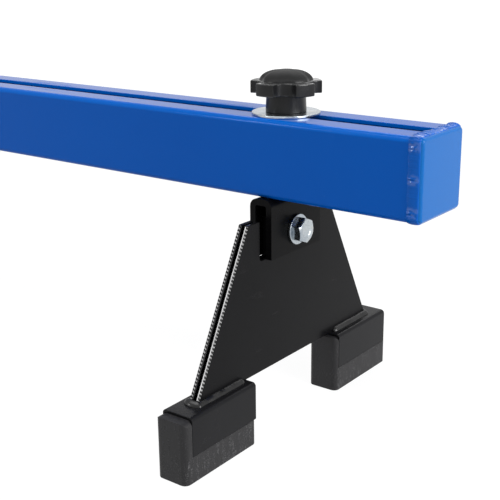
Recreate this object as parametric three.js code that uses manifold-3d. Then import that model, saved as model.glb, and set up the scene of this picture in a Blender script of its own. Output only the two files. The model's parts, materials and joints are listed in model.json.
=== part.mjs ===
// Engine support bar: a slotted beam on two clamp-on legs, with two screw hooks for the load.
// Millimetres, Z up. X runs along the beam, Y across it, and Z = 0 is the plane under the rubber feet.

import * as THREE from 'three';
import { mergeVertices } from 'three/addons/utils/BufferGeometryUtils.js';
import Module from 'manifold-3d';

// Beam: two C rails that face each other, welded to a square cap at each end
const beam_length = 1500;
const beam_side = 60;
const rail_sheet = 3;
const rail_corner_radius = 4;
const slot_width = 16;
const cap_thickness = 6;
const end_weld_width = 6.25;
const end_weld_height = 1.5;
const end_weld_lap = 2.25;
const end_weld_ripple = 10.4;
const weld_gap = 0.15;

// Leg: where it stands on the beam, and its two plates
const leg_inset = 132;
const plate_sheet = 3;
const plate_spacing = 3;
const plate_height = 121;
const plate_top_width = 109;
const plate_base_width = 232;
const plate_corner_radius = 1.5;
const relief_slot_inner = 24;
const relief_slot_width = 16.5;
const relief_slot_depth = 31;
const relief_slot_radius = 2.5;

// Bracket: a thick inverted U that hangs from the clamp bolt and holds the plates
const bracket_sheet = 5;
const bracket_length = 66;
const bracket_play = 0.5;
const bracket_height = 46.5;
const bracket_bend_radius = 6.5;
const pivot_drop = 29;
const pivot_below_plate_top = 13.5;

// Foot: a sheet channel across the plates, with a rubber block pressed into it
const foot_span = 193;
const channel_length = 75;
const channel_width = 28;
const channel_height = 30.5;
const channel_sheet = 2.25;
const channel_bend_radius = 3;
const pad_length = 84;
const pad_drop = 20.5;
const pad_corner_radius = 5;
const pad_top_round = 4.5;
const pad_side_gap = 0.25;
const front_pad_shift = 4;
const foot_weld_leg = 4;
const foot_weld_ripple = 6;
const foot_weld_end = 4;

// Fasteners of the leg
const pivot_bolt_diameter = 12;
const pivot_hex_flats = 18;
const pivot_hex_turn = THREE.MathUtils.degToRad(37);
const pivot_head_height = 7.5;
const pivot_nut_height = 10.5;
const pivot_washer_diameter = 24;
const pivot_washer_sheet = 2.5;
const bolt_end_beyond_nut = 2.5;
const hex_chamfer = 1;
const clamp_bolt_diameter = 12;
const clamp_head_height = 6;
const clamp_head_length = 24;
const bolt_clearance = 0.4;

// Star knob and the washer that it presses on the beam
const knob_washer_diameter = 52;
const knob_washer_sheet = 2;
const knob_lobes = 5;
const knob_diameter = 54;
const knob_scoop_diameter = 17;
const knob_scoop_circle = 55.5;
const knob_corner_round = 1.25;
const knob_hub_diameter = 31;
const knob_hub_draft = 0.5;
const knob_hub_height = 13.5;
const knob_lobe_height = 9.5;
const knob_dome_diameter = 41;
const knob_dome_height = 8;
const knob_edge_round = 1.25;
const knob_rest_turn = THREE.MathUtils.degToRad(-21);
const insert_diameter = 18;
const insert_height = 17;
const clamp_bolt_in_knob = 19;

// Screw hooks
const hook_spread = 380;
const spindle_diameter = 14;
const spindle_above_nut = 60;
const hook_drop = 120;
const hook_bend_radius = 22;
const hook_tip_rise = 10;
const hook_tip_chamfer = 3;
const saddle_length = 50;
const saddle_sheet = 4;
const saddle_lip = 14;
const saddle_clearance = 0.5;
const saddle_bend_radius = 6;
const thrust_washer_diameter = 30;
const thrust_washer_sheet = 3;
const wing_hub_diameter = 28;
const wing_hub_height = 22;
const wing_reach = 62;
const wing_diameter = 11;
const wing_ball_diameter = 13;
const wing_below_hub_top = 6.5;
const wing_rise = 12;

// How far a cutting tool runs past the face that it cuts
const cut_overrun = 2;

// Sizes that follow from the ones above
const half_beam = beam_side / 2;
const half_slot = slot_width / 2;
const rail_length = beam_length - 2 * cap_thickness;
const plate_pack = 2 * plate_sheet + plate_spacing;
const bracket_opening = plate_pack + 2 * bracket_play;
const bracket_width = bracket_opening + 2 * bracket_sheet;
const channel_bottom = pad_drop;
const channel_top = channel_bottom + channel_height;
const plate_top = channel_top + plate_height;
const pivot_height = plate_top - pivot_below_plate_top;
const beam_underside = pivot_height + pivot_drop;
const beam_top = beam_underside + beam_side;
const leg_station = beam_length / 2 - leg_inset;
const bolt_hole_diameter = pivot_bolt_diameter + 2 * bolt_clearance;
const clamp_hole_diameter = clamp_bolt_diameter + 2 * bolt_clearance;

// Numbers of facets
const bend_steps = 3;
const round_steps = 20;
const washer_steps = 32;
const rod_steps = 5;
const hook_steps = 16;
const spindle_facets = 12;
const knob_scoop_steps = 6;
const knob_lobe_steps = 3;
const weld_bend_steps = 4;
const weld_end_steps = 6;

// Shares of a weld bead's width and height that give its rounded outline, from one toe to the other
const bead_width_shares = [0, 0.12, 0.5, 0.88, 1];
const bead_height_shares = [0, 0.66, 1, 0.66, 0];
const fillet_out_shares = [1, 0.74, 0.34, 0];
const fillet_up_shares = [0, 0.44, 0.84, 1];
const ripple_share = 0.16;
const dome_ring_shares = [1, 0.8, 0.55, 0.28];

const wasm = await Module();
wasm.setup();

function toSolid(geometry) {
  const bare = geometry.clone();
  bare.deleteAttribute('normal');
  bare.deleteAttribute('uv');
  const merged = mergeVertices(bare);
  const mesh = new wasm.Mesh({
    numProp: 3,
    vertProperties: new Float32Array(merged.attributes.position.array),
    triVerts: new Uint32Array(merged.index.array),
  });
  return new wasm.Manifold(mesh);
}

function toGeometry(solid) {
  const mesh = solid.getMesh();
  const geometry = new THREE.BufferGeometry();
  geometry.setAttribute('position', new THREE.BufferAttribute(new Float32Array(mesh.vertProperties), 3));
  geometry.setIndex(new THREE.BufferAttribute(new Uint32Array(mesh.triVerts), 1));
  geometry.computeVertexNormals();
  return geometry;
}

function cut(geometry, tools) {
  let solid = toSolid(geometry);
  for (const tool of tools) {
    solid = solid.subtract(toSolid(tool));
  }
  return toGeometry(solid);
}

function join(geometries) {
  let solid = toSolid(geometries[0]);
  for (const geometry of geometries.slice(1)) {
    solid = solid.add(toSolid(geometry));
  }
  return toGeometry(solid);
}

function straightExtrude(shape, length, steps) {
  const settings = { depth: length, bevelEnabled: false, curveSegments: steps };
  return new THREE.ExtrudeGeometry(shape, settings);
}

// A shape drawn in (Y, Z) and drawn out along X, centred on X = 0
function extrudeAlongX(shape, length, steps = bend_steps) {
  const geometry = straightExtrude(shape, length, steps).translate(0, 0, -length / 2);
  const axes = new THREE.Matrix4().makeBasis(
    new THREE.Vector3(0, 1, 0),
    new THREE.Vector3(0, 0, 1),
    new THREE.Vector3(1, 0, 0),
  );
  return geometry.applyMatrix4(axes);
}

// A shape drawn in (X, Z) and drawn out along Y, centred on Y = 0
function extrudeAlongY(shape, length, steps = bend_steps) {
  const geometry = straightExtrude(shape, length, steps).translate(0, 0, -length / 2);
  const axes = new THREE.Matrix4().makeBasis(
    new THREE.Vector3(1, 0, 0),
    new THREE.Vector3(0, 0, 1),
    new THREE.Vector3(0, -1, 0),
  );
  return geometry.applyMatrix4(axes);
}

// A shape drawn in (X, Y) and drawn upwards from the height bottom
function extrudeUp(shape, bottom, height, steps = bend_steps) {
  return straightExtrude(shape, height, steps).translate(0, 0, bottom);
}

// A profile of [radius, height] pairs turned about the Z axis
function turnedAboutZ(profile, steps = round_steps) {
  const points = profile.map(([radius, height]) => new THREE.Vector2(radius, height));
  const geometry = new THREE.LatheGeometry(points, steps);
  return geometry.rotateX(Math.PI / 2);
}

// A profile of [radius, distance along X] pairs turned about the X axis
function turnedAboutX(profile, steps = round_steps) {
  return turnedAboutZ(profile, steps).rotateY(Math.PI / 2);
}

function rodAlongX(diameter, start, end) {
  const radius = diameter / 2;
  return turnedAboutX([[0, start], [radius, start], [radius, end], [0, end]]);
}

function rodAlongZ(diameter, start, end, steps = round_steps) {
  const radius = diameter / 2;
  return turnedAboutZ([[0, start], [radius, start], [radius, end], [0, end]], steps);
}

function roundedRectangle(width, height, radius) {
  const x = width / 2;
  const y = height / 2;
  const shape = new THREE.Shape();
  shape.moveTo(radius - x, -y);
  shape.lineTo(x - radius, -y);
  shape.absarc(x - radius, radius - y, radius, -Math.PI / 2, 0, false);
  shape.lineTo(x, y - radius);
  shape.absarc(x - radius, y - radius, radius, 0, Math.PI / 2, false);
  shape.lineTo(radius - x, y);
  shape.absarc(radius - x, y - radius, radius, Math.PI / 2, Math.PI, false);
  shape.lineTo(-x, radius - y);
  shape.absarc(radius - x, radius - y, radius, Math.PI, 1.5 * Math.PI, false);
  return shape;
}

// An inverted U of bent sheet, its top face at the height top
function bentChannelShape(width, height, sheet, bendRadius, top) {
  const x = width / 2;
  const inner = bendRadius - sheet;
  const bottom = top - height;
  const shape = new THREE.Shape();
  shape.moveTo(x, bottom);
  shape.lineTo(x, top - bendRadius);
  shape.absarc(x - bendRadius, top - bendRadius, bendRadius, 0, Math.PI / 2, false);
  shape.lineTo(bendRadius - x, top);
  shape.absarc(bendRadius - x, top - bendRadius, bendRadius, Math.PI / 2, Math.PI, false);
  shape.lineTo(-x, bottom);
  shape.lineTo(sheet - x, bottom);
  shape.lineTo(sheet - x, top - bendRadius);
  shape.absarc(bendRadius - x, top - bendRadius, inner, Math.PI, Math.PI / 2, true);
  shape.lineTo(x - bendRadius, top - sheet);
  shape.absarc(x - bendRadius, top - bendRadius, inner, Math.PI / 2, 0, true);
  shape.lineTo(x - sheet, bottom);
  shape.closePath();
  return shape;
}

// A closed skin through rings of points, each ring in the same order and with as many points.
// The rings close on themselves when looped is true, and otherwise the two end rings are capped.
function loft(rings, looped) {
  const count = rings[0].length;
  const positions = rings.flat().flatMap((point) => [point.x, point.y, point.z]);
  const index = [];
  const spans = looped ? rings.length : rings.length - 1;
  for (let ring = 0; ring < spans; ring += 1) {
    const here = ring * count;
    const next = ((ring + 1) % rings.length) * count;
    for (let k = 0; k < count; k += 1) {
      const k2 = (k + 1) % count;
      index.push(here + k, here + k2, next + k2, here + k, next + k2, next + k);
    }
  }
  if (!looped) {
    const last = (rings.length - 1) * count;
    for (let k = 1; k < count - 1; k += 1) {
      index.push(0, k + 1, k);
      index.push(last, last + k, last + k + 1);
    }
  }
  const geometry = new THREE.BufferGeometry();
  geometry.setAttribute('position', new THREE.BufferAttribute(new Float32Array(positions), 3));
  geometry.setIndex(index);
  if (toSignedVolume(geometry) < 0) {
    index.reverse();
    geometry.setIndex(index);
  }
  geometry.computeVertexNormals();
  return geometry;
}

function toSignedVolume(geometry) {
  const positions = geometry.attributes.position;
  const corners = [0, 1, 2].map(() => new THREE.Vector3());
  let volume = 0;
  for (let t = 0; t < geometry.index.count; t += 3) {
    corners.forEach((corner, k) => {
      corner.fromBufferAttribute(positions, geometry.index.getX(t + k));
    });
    volume += corners[0].dot(corners[1].cross(corners[2])) / 6;
  }
  return volume;
}

// Finishes
const finish = (color, roughness, metalness) => (
  new THREE.MeshStandardMaterial({ color, roughness, metalness }));
const bluePaint = () => finish(0x0a4fae, 0.3, 0.1);
const blackPaint = () => finish(0x1c1c1e, 0.45, 0.1);
const blackPlastic = () => finish(0x121214, 0.4, 0);
const zinc = () => finish(0xc3c7c9, 0.3, 0.95);
const rubber = () => finish(0x232324, 0.8, 0);

function piece(name, geometry, material) {
  const mesh = new THREE.Mesh(geometry, material);
  mesh.name = name;
  return mesh;
}

// One C rail of the beam, on the side of negative Y, with its open side towards the slot
function railShape() {
  const inner = rail_corner_radius - rail_sheet;
  const bend_y = rail_corner_radius - half_beam;
  const low = beam_underside;
  const high = beam_top;
  const shape = new THREE.Shape();
  shape.moveTo(-half_slot, high - rail_sheet);
  shape.lineTo(-half_slot, high);
  shape.lineTo(bend_y, high);
  shape.absarc(bend_y, high - rail_corner_radius, rail_corner_radius, Math.PI / 2, Math.PI, false);
  shape.lineTo(-half_beam, low + rail_corner_radius);
  shape.absarc(bend_y, low + rail_corner_radius, rail_corner_radius, Math.PI, 1.5 * Math.PI, false);
  shape.lineTo(-half_slot, low);
  shape.lineTo(-half_slot, low + rail_sheet);
  shape.lineTo(bend_y, low + rail_sheet);
  shape.absarc(bend_y, low + rail_corner_radius, inner, 1.5 * Math.PI, Math.PI, true);
  shape.lineTo(rail_sheet - half_beam, high - rail_corner_radius);
  shape.absarc(bend_y, high - rail_corner_radius, inner, Math.PI, Math.PI / 2, true);
  shape.closePath();
  return shape;
}

function endCap() {
  const shape = roundedRectangle(beam_side, beam_side, rail_corner_radius);
  const plate = extrudeAlongX(shape, cap_thickness);
  const middle = beam_length / 2 - cap_thickness / 2;
  return plate.translate(middle, 0, beam_underside + half_beam);
}

// The bead that runs round the joint of cap and rails. It follows a rounded square, and swells
// and shrinks with the welder's ripples along each side.
function endWeld() {
  const radius = rail_corner_radius;
  const straight = beam_side - 2 * radius;
  const ripples = Math.round(straight / end_weld_ripple);
  const middle = beam_underside + half_beam;
  const start = beam_length / 2 - cap_thickness + end_weld_lap;
  const rings = [];
  const addRing = (side, share, bent) => {
    const swell = 1 + ripple_share * Math.cos(2 * Math.PI * ripples * share);
    const turn = side * (Math.PI / 2);
    const ring = bead_width_shares.map((width_share, k) => {
      const reach = radius + weld_gap + end_weld_height * bead_height_shares[k] * swell;
      const y = straight * share - straight / 2 + Math.sin(bent) * reach;
      const z = straight / 2 + Math.cos(bent) * reach;
      return new THREE.Vector3(
        start - end_weld_width * width_share,
        y * Math.cos(turn) + z * Math.sin(turn),
        z * Math.cos(turn) - y * Math.sin(turn) + middle,
      );
    });
    rings.push(ring);
  };
  for (let side = 0; side < 4; side += 1) {
    for (let k = 0; k <= 2 * ripples; k += 1) {
      addRing(side, k / (2 * ripples), 0);
    }
    for (let k = 1; k < weld_bend_steps; k += 1) {
      addRing(side, 1, ((Math.PI / 2) * k) / weld_bend_steps);
    }
  }
  return loft(rings, true);
}

function beamPieces() {
  const frontRail = extrudeAlongX(railShape(), rail_length);
  const rearRail = frontRail.clone();
  rearRail.rotateZ(Math.PI);
  const cap = endCap();
  const weld = endWeld();
  return [
    piece('front_rail', frontRail, bluePaint()),
    piece('rear_rail', rearRail, bluePaint()),
    piece('right_end_cap', cap, bluePaint()),
    piece('right_end_weld', weld, bluePaint()),
    piece('left_end_cap', cap.clone().rotateZ(Math.PI), bluePaint()),
    piece('left_end_weld', weld.clone().rotateZ(Math.PI), bluePaint()),
  ];
}

// The bracket's bolt holes are cut through both walls and through the web
function clevisBracket() {
  const section = bentChannelShape(
    bracket_width, bracket_height, bracket_sheet, bracket_bend_radius, beam_underside);
  const body = extrudeAlongY(section, bracket_length);
  const reach = bracket_width / 2 + cut_overrun;
  const pivotHole = rodAlongX(bolt_hole_diameter, -reach, reach).translate(0, 0, pivot_height);
  const web_bottom = beam_underside - bracket_sheet;
  const webHole = rodAlongZ(clamp_hole_diameter, web_bottom - cut_overrun, beam_underside + cut_overrun);
  return cut(body, [pivotHole, webHole]);
}

// A leg plate: a trapezium with square shoulders and a relief slot each side of the bracket
function legPlate() {
  const top = plate_top_width / 2;
  const base = plate_base_width / 2;
  const slot_in = relief_slot_inner;
  const slot_out = relief_slot_inner + relief_slot_width;
  const slot_floor = plate_top - relief_slot_depth;
  const radius = relief_slot_radius;
  const corner = plate_corner_radius;
  const shape = new THREE.Shape();
  shape.moveTo(-base, channel_top);
  shape.lineTo(base, channel_top);
  shape.lineTo(top, plate_top - corner);
  shape.quadraticCurveTo(top, plate_top, top - corner, plate_top);
  shape.lineTo(slot_out, plate_top);
  shape.lineTo(slot_out, slot_floor + radius);
  shape.absarc(slot_out - radius, slot_floor + radius, radius, 0, -Math.PI / 2, true);
  shape.lineTo(slot_in + radius, slot_floor);
  shape.absarc(slot_in + radius, slot_floor + radius, radius, -Math.PI / 2, -Math.PI, true);
  shape.lineTo(slot_in, plate_top);
  shape.lineTo(-slot_in, plate_top);
  shape.lineTo(-slot_in, slot_floor + radius);
  shape.absarc(-slot_in - radius, slot_floor + radius, radius, 0, -Math.PI / 2, true);
  shape.lineTo(radius - slot_out, slot_floor);
  shape.absarc(radius - slot_out, slot_floor + radius, radius, -Math.PI / 2, -Math.PI, true);
  shape.lineTo(-slot_out, plate_top);
  shape.lineTo(corner - top, plate_top);
  shape.quadraticCurveTo(-top, plate_top, -top, plate_top - corner);
  shape.closePath();
  const hole_radius = bolt_hole_diameter / 2;
  const bolt_hole = new THREE.EllipseCurve(0, pivot_height, hole_radius, hole_radius);
  shape.holes.push(new THREE.Path(bolt_hole.getSpacedPoints(round_steps).slice(1)));
  return extrudeAlongX(shape, plate_sheet);
}

function ringAlongX(outer_diameter, bore, thickness) {
  const outer = outer_diameter / 2;
  const inner = bore / 2;
  const half = thickness / 2;
  return turnedAboutX([[inner, -half], [outer, -half], [outer, half], [inner, half], [inner, -half]]);
}

function ringAlongZ(outer_diameter, bore, bottom, thickness, steps) {
  const outer = outer_diameter / 2;
  const inner = bore / 2;
  const top = bottom + thickness;
  const section = [[inner, bottom], [outer, bottom], [outer, top], [inner, top], [inner, bottom]];
  return turnedAboutZ(section, steps);
}

// A hexagon prism along X. Its corners are chamfered at the face that is farther from the middle.
function hexagonAlongX(flats, start, end) {
  const corner = flats / Math.sqrt(3);
  const low = Math.min(start, end);
  const high = Math.max(start, end);
  const low_chamfer = end < start ? hex_chamfer : 0;
  const high_chamfer = end > start ? hex_chamfer : 0;
  const prism = turnedAboutX([[0, low], [corner, low], [corner, high], [0, high]], 6);
  prism.rotateX(pivot_hex_turn);
  const turned = turnedAboutX([
    [0, low],
    [corner - low_chamfer, low],
    [corner, low + low_chamfer / 2],
    [corner, high - high_chamfer / 2],
    [corner - high_chamfer, high],
    [0, high],
  ]);
  return toGeometry(toSolid(prism).intersect(toSolid(turned)));
}

function pivotBolt() {
  const seat = bracket_width / 2 + pivot_washer_sheet;
  const tail = seat + pivot_nut_height + bolt_end_beyond_nut;
  const head = hexagonAlongX(pivot_hex_flats, seat, seat + pivot_head_height);
  const radius = pivot_bolt_diameter / 2;
  const shank = turnedAboutX([
    [0, -tail],
    [radius - hex_chamfer, -tail],
    [radius, hex_chamfer - tail],
    [radius, seat + hex_chamfer],
    [0, seat + hex_chamfer],
  ]);
  return join([head, shank]);
}

function pivotNut() {
  const seat = bracket_width / 2 + pivot_washer_sheet;
  const nut = hexagonAlongX(pivot_hex_flats, -seat, -seat - pivot_nut_height);
  const bore = rodAlongX(bolt_hole_diameter, -seat - pivot_nut_height - cut_overrun, cut_overrun - seat);
  return cut(nut, [bore]);
}

// The clamp bolt's flat head lies between the bracket's walls, so the bolt can't turn.
// Its upper edges are chamfered to clear the inside of the bracket's bends.
function clampBolt() {
  const seat = beam_underside - bracket_sheet;
  const tip = beam_top + knob_washer_sheet + clamp_bolt_in_knob;
  const half = plate_pack / 2;
  const chamfer = bracket_bend_radius - bracket_sheet;
  const section = new THREE.Shape();
  section.moveTo(-half, seat - clamp_head_height);
  section.lineTo(half, seat - clamp_head_height);
  section.lineTo(half, seat - chamfer);
  section.lineTo(half - chamfer, seat);
  section.lineTo(chamfer - half, seat);
  section.lineTo(-half, seat - chamfer);
  section.closePath();
  const head = extrudeAlongY(section, clamp_head_length);
  const radius = clamp_bolt_diameter / 2;
  const shank = turnedAboutZ([
    [0, seat - hex_chamfer],
    [radius, seat - hex_chamfer],
    [radius, tip - hex_chamfer],
    [radius - hex_chamfer, tip],
    [0, tip],
  ]);
  return join([head, shank]);
}

// The angle between two sides of a triangle, from the lengths of its three sides
function angleBetween(left, right, opposite) {
  return Math.acos((left * left + right * right - opposite * opposite) / (2 * left * right));
}

// The star's outline, drawn inwards by inset. Each lobe is an arc about the axis between two scoops,
// and its two corners are rounded off.
function starOutline(inset) {
  const lobe_radius = knob_diameter / 2 - inset;
  const scoop_radius = knob_scoop_diameter / 2 + inset;
  const scoop_place = knob_scoop_circle / 2;
  const pitch = (2 * Math.PI) / knob_lobes;
  const scoop_half = angleBetween(scoop_place, lobe_radius, scoop_radius);
  const scoop_sweep = angleBetween(scoop_place, scoop_radius, lobe_radius);
  const lobe_trim = knob_corner_round / lobe_radius;
  const scoop_trim = knob_corner_round / scoop_radius;
  const lobe_half = pitch / 2 - scoop_half - lobe_trim;
  const points = [];
  for (let lobe = 0; lobe < knob_lobes; lobe += 1) {
    const middle = pitch * lobe;
    for (let k = 0; k <= knob_lobe_steps; k += 1) {
      const angle = middle + lobe_half * ((2 * k) / knob_lobe_steps - 1);
      points.push(new THREE.Vector2(lobe_radius * Math.cos(angle), lobe_radius * Math.sin(angle)));
    }
    const scoop_middle = middle + pitch / 2;
    for (let k = 0; k <= knob_scoop_steps; k += 1) {
      const sweep = (scoop_sweep - scoop_trim) * ((2 * k) / knob_scoop_steps - 1);
      const angle = scoop_middle + Math.PI - sweep;
      points.push(new THREE.Vector2(
        scoop_place * Math.cos(scoop_middle) + scoop_radius * Math.cos(angle),
        scoop_place * Math.sin(scoop_middle) + scoop_radius * Math.sin(angle),
      ));
    }
  }
  return points;
}

// The domed middle is a cap of a ball, and the scoops run up through its rim
function domeHeight(radius) {
  const rim = knob_dome_diameter / 2;
  const ball = (rim * rim + knob_dome_height * knob_dome_height) / (2 * knob_dome_height);
  return radius < rim ? Math.sqrt(ball * ball - radius * radius) - ball + knob_dome_height : 0;
}

function starKnob() {
  const bottom = beam_top + knob_washer_sheet;
  const lobe_bottom = bottom + knob_hub_height;
  const lobe_top = lobe_bottom + knob_lobe_height;
  const round = knob_edge_round;
  const whole = starOutline(0);
  const eased = starOutline(round);
  const hub = knob_hub_diameter / 2;
  const hubRing = (radius, height) => whole.map((point) => (
    new THREE.Vector3(point.x, point.y, 0).setLength(radius).setZ(height)));
  const starRing = (outline, height) => outline.map((point) => new THREE.Vector3(point.x, point.y, height));
  const rings = [
    hubRing(hub, bottom),
    hubRing(hub - knob_hub_draft, lobe_bottom),
    starRing(eased, lobe_bottom),
    starRing(whole, lobe_bottom + round),
    starRing(whole, lobe_top - round),
    eased.map((point) => new THREE.Vector3(point.x, point.y, lobe_top + domeHeight(point.length()))),
  ];
  for (const share of dome_ring_shares) {
    rings.push(eased.map((point) => {
      const radius = Math.min(point.length(), knob_dome_diameter / 2) * share;
      const spot = point.clone().setLength(radius);
      return new THREE.Vector3(spot.x, spot.y, lobe_top + domeHeight(radius));
    }));
  }
  const insert_top = bottom + insert_height;
  const insert_bore = rodAlongZ(insert_diameter + bolt_clearance, bottom - cut_overrun, insert_top);
  const tip_bore = rodAlongZ(clamp_hole_diameter, bottom, bottom + clamp_bolt_in_knob + bolt_clearance);
  const moulding = loft(rings, false).rotateZ(knob_rest_turn);
  return cut(moulding, [insert_bore, tip_bore]);
}

// A foot channel's bead goes along one side of the plates, round their outer end and back.
// side is 1 for the foot on the side of positive Y and -1 for the other.
function footWeld(side) {
  const near = foot_span / 2 - channel_length / 2 + foot_weld_end;
  const far = plate_base_width / 2;
  const half = plate_pack / 2;
  const ripples = Math.round((far - near) / foot_weld_ripple);
  const rings = [];
  const addRing = (x, y, turn, swell) => {
    const ring = fillet_out_shares.map((out_share, k) => {
      const out = foot_weld_leg * out_share * swell;
      const up = foot_weld_leg * fillet_up_shares[k] * swell;
      const along = side * (y + Math.sin(turn) * out);
      return new THREE.Vector3(x + Math.cos(turn) * out, along, channel_top + up);
    });
    ring.push(new THREE.Vector3(x, side * y, channel_top));
    rings.push(ring);
  };
  const addRun = (x, turn, order) => {
    for (let k = 0; k <= 2 * ripples; k += 1) {
      const share = order(k / (2 * ripples));
      const swell = 1 + ripple_share * Math.cos(2 * Math.PI * ripples * share);
      addRing(x, near + (far - near) * share, turn, swell);
    }
  };
  addRun(half, 0, (share) => share);
  for (let k = 1; k < weld_end_steps; k += 1) {
    const turn = (Math.PI * k) / weld_end_steps;
    addRing(half * Math.sign(weld_end_steps / 2 - k), far + weld_gap, turn, 1 + ripple_share);
  }
  addRun(-half, Math.PI, (share) => 1 - share);
  return loft(rings, false);
}

function footChannel(side) {
  const section = bentChannelShape(
    channel_width, channel_height, channel_sheet, channel_bend_radius, channel_top);
  return extrudeAlongY(section, channel_length).translate(0, (side * foot_span) / 2, 0);
}

// A rubber block as wide as the channel. Above the channel's lower edges its sides are cut back, so
// that it fits inside, and its top is rounded to clear the channel's bends.
function footPad(side, shift) {
  const height = channel_top - channel_sheet;
  const half = channel_width / 2;
  const block = extrudeUp(roundedRectangle(channel_width, pad_length, pad_corner_radius), 0, height);
  const profile = new THREE.Shape();
  profile.moveTo(-half, -cut_overrun);
  profile.lineTo(half, -cut_overrun);
  profile.lineTo(half, height - pad_top_round);
  profile.absarc(half - pad_top_round, height - pad_top_round, pad_top_round, 0, Math.PI / 2, false);
  profile.lineTo(pad_top_round - half, height);
  profile.absarc(pad_top_round - half, height - pad_top_round, pad_top_round, Math.PI / 2, Math.PI, false);
  profile.closePath();
  const rounded = extrudeAlongY(profile, pad_length + 2 * cut_overrun);
  let pad = toSolid(block).intersect(toSolid(rounded));
  const depth = channel_sheet + pad_side_gap;
  const rebate_width = depth + cut_overrun;
  const rebate_height = channel_height + cut_overrun;
  for (const face of [-1, 1]) {
    const rebate = new THREE.BoxGeometry(rebate_width, channel_length + 2 * pad_side_gap, rebate_height);
    const rebate_place = face * (half - depth + rebate_width / 2);
    rebate.translate(rebate_place, -side * shift, channel_bottom + rebate_height / 2);
    pad = pad.subtract(toSolid(rebate));
  }
  return toGeometry(pad).translate(0, (side * foot_span) / 2 + side * shift, 0);
}

// A whole leg, at X = 0. The side of negative Y is its front.
function legPieces(prefix) {
  const name = (text) => `${prefix}_${text}`;
  const plate = legPlate();
  const plate_place = (plate_spacing + plate_sheet) / 2;
  const washer_place = bracket_width / 2 + pivot_washer_sheet / 2;
  const washer = ringAlongX(pivot_washer_diameter, bolt_hole_diameter, pivot_washer_sheet);
  const spacer = ringAlongX(pivot_washer_diameter, bolt_hole_diameter, plate_spacing);
  const insert_bottom = beam_top + knob_washer_sheet;
  const insert_length = insert_height - bolt_clearance;
  const insert = ringAlongZ(insert_diameter, clamp_hole_diameter, insert_bottom, insert_length, round_steps);
  const knobWasher = ringAlongZ(
    knob_washer_diameter, clamp_hole_diameter, beam_top, knob_washer_sheet, washer_steps);
  const atPivot = (geometry, x) => geometry.clone().translate(x, 0, pivot_height);
  const pieces = [
    piece(name('star_knob'), starKnob(), blackPlastic()),
    piece(name('knob_insert'), insert, zinc()),
    piece(name('knob_washer'), knobWasher, zinc()),
    piece(name('clamp_bolt'), clampBolt(), zinc()),
    piece(name('clevis_bracket'), clevisBracket(), blackPaint()),
    piece(name('pivot_bolt'), atPivot(pivotBolt(), 0), zinc()),
    piece(name('pivot_head_washer'), atPivot(washer, washer_place), zinc()),
    piece(name('pivot_nut_washer'), atPivot(washer, -washer_place), zinc()),
    piece(name('pivot_nut'), atPivot(pivotNut(), 0), zinc()),
    piece(name('pivot_spacer'), atPivot(spacer, 0), zinc()),
    piece(name('outer_leg_plate'), plate.clone().translate(plate_place, 0, 0), blackPaint()),
    piece(name('inner_leg_plate'), plate.clone().translate(-plate_place, 0, 0), blackPaint()),
  ];
  for (const [end, side, shift] of [['front', -1, front_pad_shift], ['rear', 1, 0]]) {
    pieces.push(piece(name(`${end}_foot_channel`), footChannel(side), blackPaint()));
    pieces.push(piece(name(`${end}_foot_weld`), footWeld(side), blackPaint()));
    pieces.push(piece(name(`${end}_foot_pad`), footPad(side, shift), rubber()));
  }
  return pieces;
}

// The saddle straddles the beam, and its lips keep it square
function hookSaddle() {
  const inner = beam_side + 2 * saddle_clearance;
  const section = bentChannelShape(
    inner + 2 * saddle_sheet, saddle_lip + saddle_sheet, saddle_sheet, saddle_bend_radius,
    beam_top + saddle_sheet);
  const body = extrudeAlongY(section, saddle_length).rotateZ(Math.PI / 2);
  const bore = spindle_diameter + 2 * bolt_clearance;
  return cut(body, [rodAlongZ(bore, beam_top - cut_overrun, beam_top + saddle_sheet + cut_overrun)]);
}

// A hub with two raised arms that end in balls
function wingNut() {
  const bottom = beam_top + saddle_sheet + thrust_washer_sheet;
  const top = bottom + wing_hub_height;
  const radius = wing_hub_diameter / 2;
  const wing_height = top - wing_below_hub_top;
  const hub = turnedAboutZ([
    [0, bottom],
    [radius, bottom],
    [radius, top - hex_chamfer],
    [radius - hex_chamfer, top],
    [0, top],
  ]);
  const section = new THREE.Shape();
  section.absarc(0, 0, wing_diameter / 2, 0, 2 * Math.PI, false);
  const solids = [hub];
  for (const side of [-1, 1]) {
    const root = new THREE.Vector3(0, (side * (spindle_diameter + radius)) / 2, wing_height);
    const tip_place = wing_reach - wing_ball_diameter / 2;
    const tip = new THREE.Vector3(0, side * tip_place, wing_height + wing_rise);
    const along = new THREE.LineCurve3(root, tip);
    const settings = { steps: 1, extrudePath: along, curveSegments: rod_steps };
    const ball = new THREE.SphereGeometry(wing_ball_diameter / 2, 2 * rod_steps, rod_steps);
    ball.translate(tip.x, tip.y, tip.z);
    solids.push(new THREE.ExtrudeGeometry(section, settings), ball);
  }
  const bore = spindle_diameter + 2 * bolt_clearance;
  return cut(join(solids), [rodAlongZ(bore, bottom - cut_overrun, top + cut_overrun)]);
}

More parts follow.
